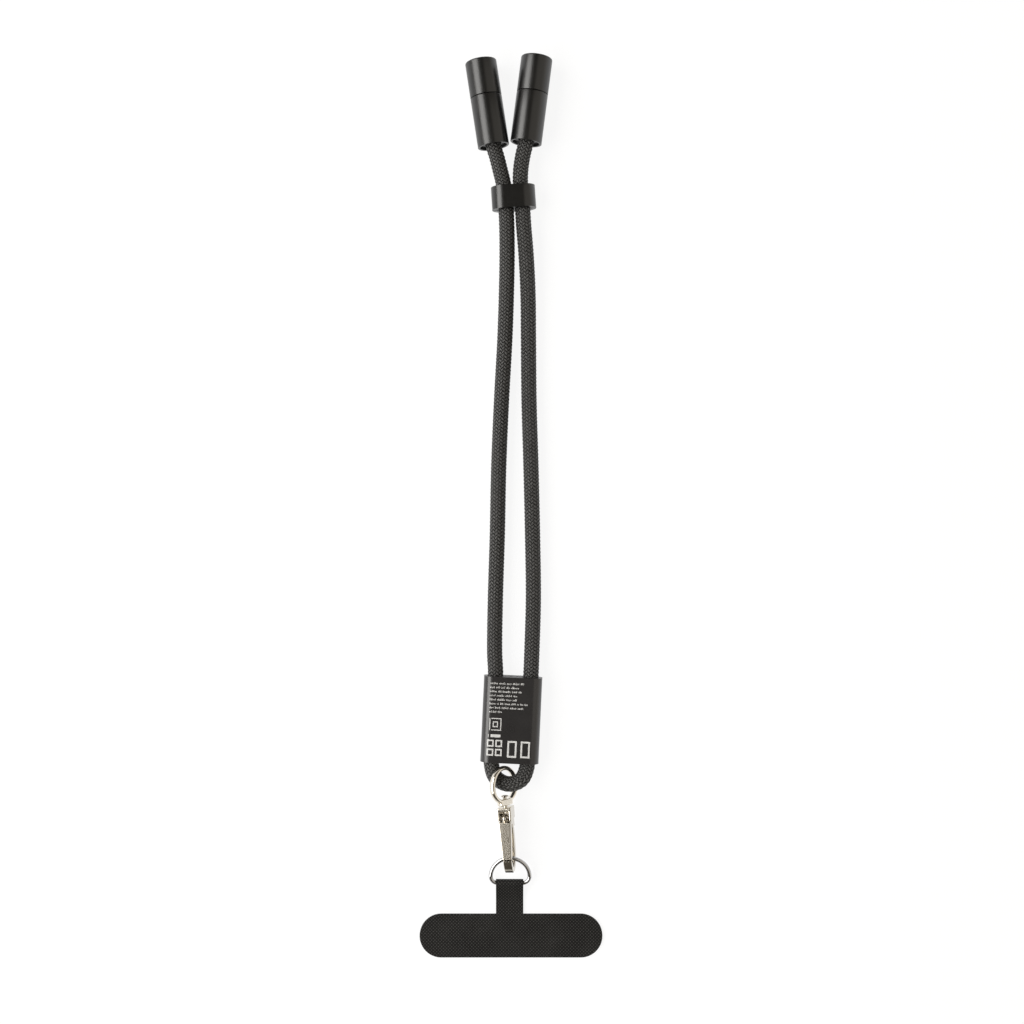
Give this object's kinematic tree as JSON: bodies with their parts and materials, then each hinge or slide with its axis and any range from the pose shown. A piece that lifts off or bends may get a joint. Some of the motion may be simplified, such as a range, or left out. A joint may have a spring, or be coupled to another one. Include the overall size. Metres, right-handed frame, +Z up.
{
  "type": "phone lanyard with a charging cable for its cord",
  "caption": "Short wrist lanyard whose braided cord is a capped charging cable, with slider, flat sleeve, swivel hook, D-ring and fabric tether tab.",
  "frame": {"origin": "centre of the sleeve's underside, which rests on the ground plane z = 0", "axes": "+Y runs up the lanyard, from the tether to the connector ends; +Z points up out of the ground plane; +X to the right"},
  "size_m": [0.0656, 0.3224, 0.0113],
  "materials": {
    "black_anodised": "satin black anodised",
    "braid": "black twill braid",
    "black_plastic": "moulded black",
    "nickel": "polished warm nickel plate",
    "steel": "plain drawn steel",
    "circuit_board": "green solder mask",
    "copper_alloy": "crimped brass",
    "tether_fabric": "fine black plain weave"
  },
  "bodies": {
    "cable": {"cord": "braid", "sleeve": "black_anodised", "sleeve_spacer": "black_plastic", "left_housing": "black_anodised", "left_entry_grommet": "black_plastic", "left_crimp_ferrule": "copper_alloy", "left_plug_core": "black_plastic", "left_circuit_card": "circuit_board", "left_plug_shell": "steel", "left_contact_block": "black_plastic", "right_housing": "black_anodised", "right_entry_grommet": "black_plastic", "right_crimp_ferrule": "copper_alloy", "right_plug_core": "black_plastic", "right_circuit_card": "circuit_board", "right_plug_shell": "steel", "right_contact_block": "black_plastic"},
    "left_cap": {"left_cap": "black_anodised", "left_cap_liner": "black_plastic"},
    "right_cap": {"right_cap": "black_anodised", "right_cap_liner": "black_plastic"},
    "slider": {"slider": "black_anodised"},
    "swivel_ring": {"swivel_ring": "nickel"},
    "hook": {"hook_body": "nickel", "swivel_post": "nickel", "gate_pin": "steel", "gate_spring": "steel"},
    "gate": {"gate": "nickel"},
    "d_ring": {"d_ring": "nickel"},
    "tether": {"tether_face": "tether_fabric", "tether_backing": "tether_fabric"}
  },
  "joints": [
    {"name": "left_cap_pull", "type": "slide", "parent": "cable", "child": "left_cap", "axis": [-0.1513, 0.9885, 0], "range_m": [0, 0.01]},
    {"name": "right_cap_pull", "type": "slide", "parent": "cable", "child": "right_cap", "axis": [0.1288, 0.9917, 0], "range_m": [0, 0.01]},
    {"name": "slider_slide", "type": "slide", "parent": "cable", "child": "slider", "axis": [-0.0654, 0.9979, 0], "range_m": [-0.012, 0.003]},
    {"name": "ring_turn", "type": "hinge", "parent": "cable", "child": "swivel_ring", "pos_m": [-0.0026, -0.0236, 0.0054], "axis": [0.7055, 0.0481, 0.7071], "range_deg": [-45, 0]},
    {"name": "hook_swivel", "type": "hinge", "parent": "swivel_ring", "child": "hook", "pos_m": [-0.0026, -0.0236, 0.0054], "axis": [-0.068, 0.9977, 0], "continuous": true},
    {"name": "gate_hinge", "type": "hinge", "parent": "hook", "child": "gate", "pos_m": [-0.00205, -0.03629, 0.00687], "axis": [0.9759, 0.0665, 0.2079], "range_deg": [0, 20], "stiffness_Nm_per_rad": 0.02, "springref_deg": -11.46},
    {"name": "d_ring_swing", "type": "hinge", "parent": "hook", "child": "d_ring", "pos_m": [-0.00041, -0.0498, 0.00359], "axis": [1, 0, 0], "range_deg": [-75, 0]},
    {"name": "tether_fold", "type": "hinge", "parent": "d_ring", "child": "tether", "pos_m": [-0.00041, -0.05915, 0.0016], "axis": [1, 0, 0], "range_deg": [-90, 0]}
  ]
}
